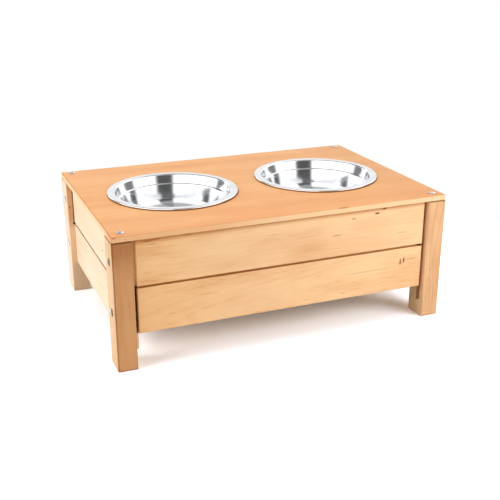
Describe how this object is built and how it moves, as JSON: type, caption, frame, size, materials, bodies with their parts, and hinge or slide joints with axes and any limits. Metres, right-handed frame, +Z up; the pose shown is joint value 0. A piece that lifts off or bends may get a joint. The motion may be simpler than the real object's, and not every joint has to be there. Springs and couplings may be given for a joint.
{
  "type": "elevated pet feeder",
  "caption": "Raised timber feeding stand: lift-out steel bowls sit in a bolted top board over a closed storage box with plank sides, all carried by square corner legs.",
  "frame": {"origin": "on the ground, under the middle of the stand", "axes": "+X along the width to the right seen from the front, +Y from the front to the back, +Z up"},
  "size_m": [0.6048, 0.404, 0.2335],
  "materials": {
    "top_wood": "satin lacquered fir, warm honey",
    "panel_wood": "satin lacquered fir",
    "raw_wood": "rough sawn, unfinished",
    "bowl_steel": "polished stainless",
    "zinc_steel": "bright zinc"
  },
  "bodies": {
    "stand": {"top_board": "top_wood", "front_left_leg": "panel_wood", "front_right_leg": "panel_wood", "back_left_leg": "panel_wood", "back_right_leg": "panel_wood", "front_upper_plank": "panel_wood", "front_lower_plank": "panel_wood", "back_upper_plank": "panel_wood", "back_lower_plank": "panel_wood", "left_upper_plank": "panel_wood", "left_lower_plank": "panel_wood", "right_upper_plank": "panel_wood", "right_lower_plank": "panel_wood", "front_left_strip": "raw_wood", "front_right_strip": "raw_wood", "back_left_strip": "raw_wood", "back_right_strip": "raw_wood", "front_left_batten": "raw_wood", "front_right_batten": "raw_wood", "back_left_batten": "raw_wood", "back_right_batten": "raw_wood", "left_end_front_batten": "raw_wood", "left_end_back_batten": "raw_wood", "right_end_front_batten": "raw_wood", "right_end_back_batten": "raw_wood", "front_ledger": "raw_wood", "back_ledger": "raw_wood", "left_ledger": "raw_wood", "right_ledger": "raw_wood", "storage_floor": "raw_wood", "top_bolts": "zinc_steel", "top_inserts": "zinc_steel", "leg_bolts": "zinc_steel", "leg_inserts": "zinc_steel", "long_panel_screws": "zinc_steel", "end_panel_screws": "zinc_steel", "corner_screws": "zinc_steel", "ledger_screws": "zinc_steel"},
    "left_bowl_body": {"left_bowl": "bowl_steel"},
    "right_bowl_body": {"right_bowl": "bowl_steel"}
  },
  "joints": [
    {"name": "left_bowl_lift", "type": "slide", "parent": "stand", "child": "left_bowl_body", "axis": [0, 0, 1], "range_m": [0, 0.15]},
    {"name": "right_bowl_lift", "type": "slide", "parent": "stand", "child": "right_bowl_body", "axis": [0, 0, 1], "range_m": [0, 0.15]}
  ]
}
